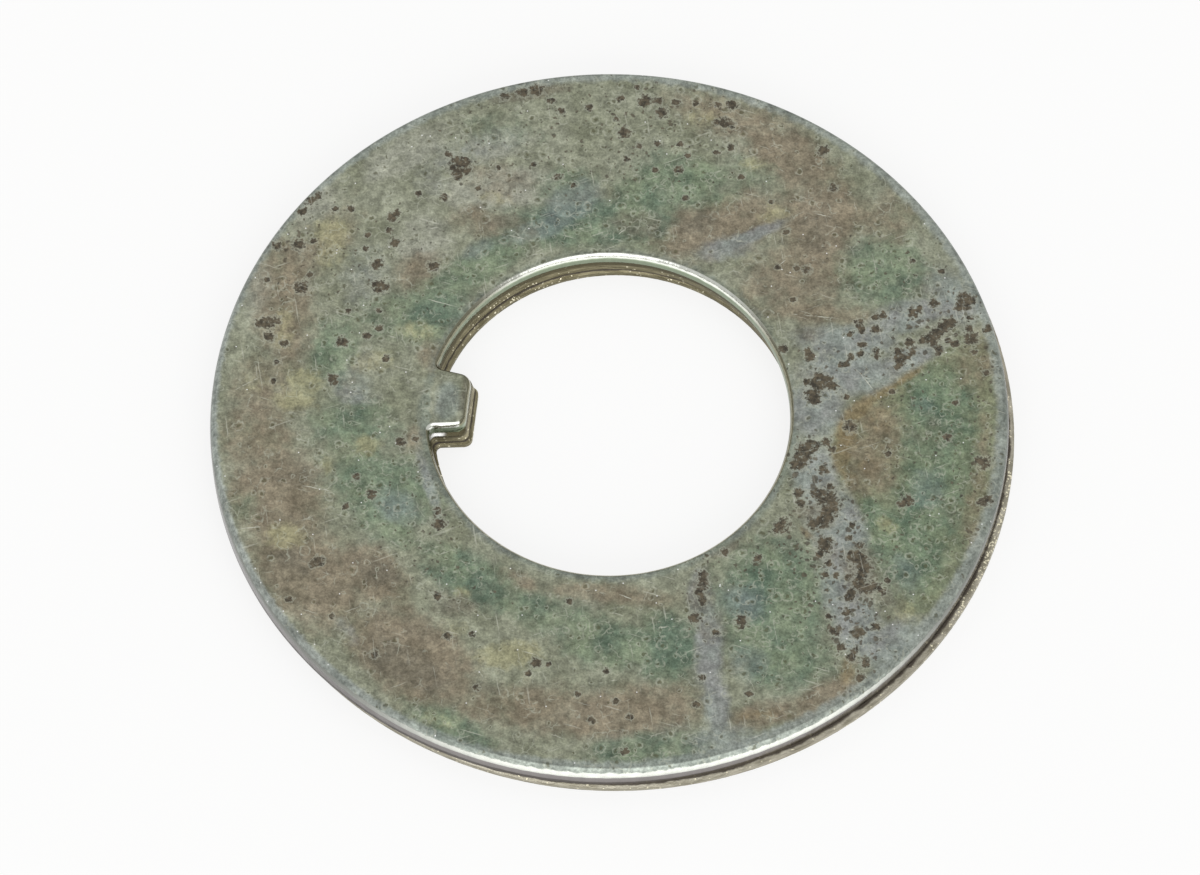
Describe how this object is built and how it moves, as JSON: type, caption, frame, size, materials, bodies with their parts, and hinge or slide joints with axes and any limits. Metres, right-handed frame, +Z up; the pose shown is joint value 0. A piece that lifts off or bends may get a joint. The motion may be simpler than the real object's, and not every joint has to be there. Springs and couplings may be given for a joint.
{
  "type": "tab lock washer",
  "caption": "Flat round steel lock washer with a large bore and one short tab pointing inward from the bore's edge, aged zinc plate.",
  "frame": {"origin": "centre of the bore in the plane of the lower face, on which the washer lies", "axes": "+Z up through the thickness, towards the face with the rolled shoulders; -X from the bore's centre towards the tab's root"},
  "size_m": [0.0512, 0.0509, 0.0024],
  "materials": {
    "zinc_plated_steel": "zinc plate with an aged yellow-green passivate, stained, scratched and spotted with corrosion"
  },
  "bodies": {
    "root": {"tab_lock_washer": "zinc_plated_steel"}
  },
  "joints": []
}
